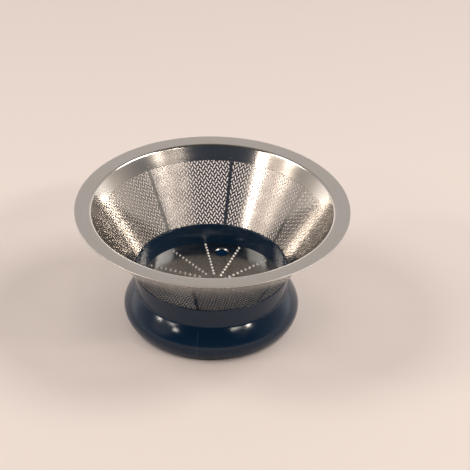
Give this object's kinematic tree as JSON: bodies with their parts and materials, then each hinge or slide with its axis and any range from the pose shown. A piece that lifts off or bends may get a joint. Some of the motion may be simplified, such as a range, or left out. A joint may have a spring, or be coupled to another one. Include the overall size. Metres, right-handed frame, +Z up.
{
  "type": "juicer filter basket",
  "caption": "Conical steel mesh basket with a flat rim, a toothed grater disc in its bottom and a black plastic base with a drive socket, for straining juice as it spins.",
  "frame": {"origin": "centre of the foot ring, on the surface that the basket stands on", "axes": "+Z up along the spinning axis, -Y towards the viewer of the picture, +X to the right"},
  "size_m": [0.14, 0.14, 0.0642],
  "materials": {
    "rim_steel": "brushed flange and polished band",
    "mesh_steel": "satin, etched",
    "disc_steel": "bright rolled sheet",
    "black_plastic": "glossy moulded"
  },
  "bodies": {
    "root": {"rim_ring": "rim_steel", "mesh_cone": "mesh_steel", "grater_disc": "disc_steel", "base_moulding": "black_plastic"}
  },
  "joints": []
}
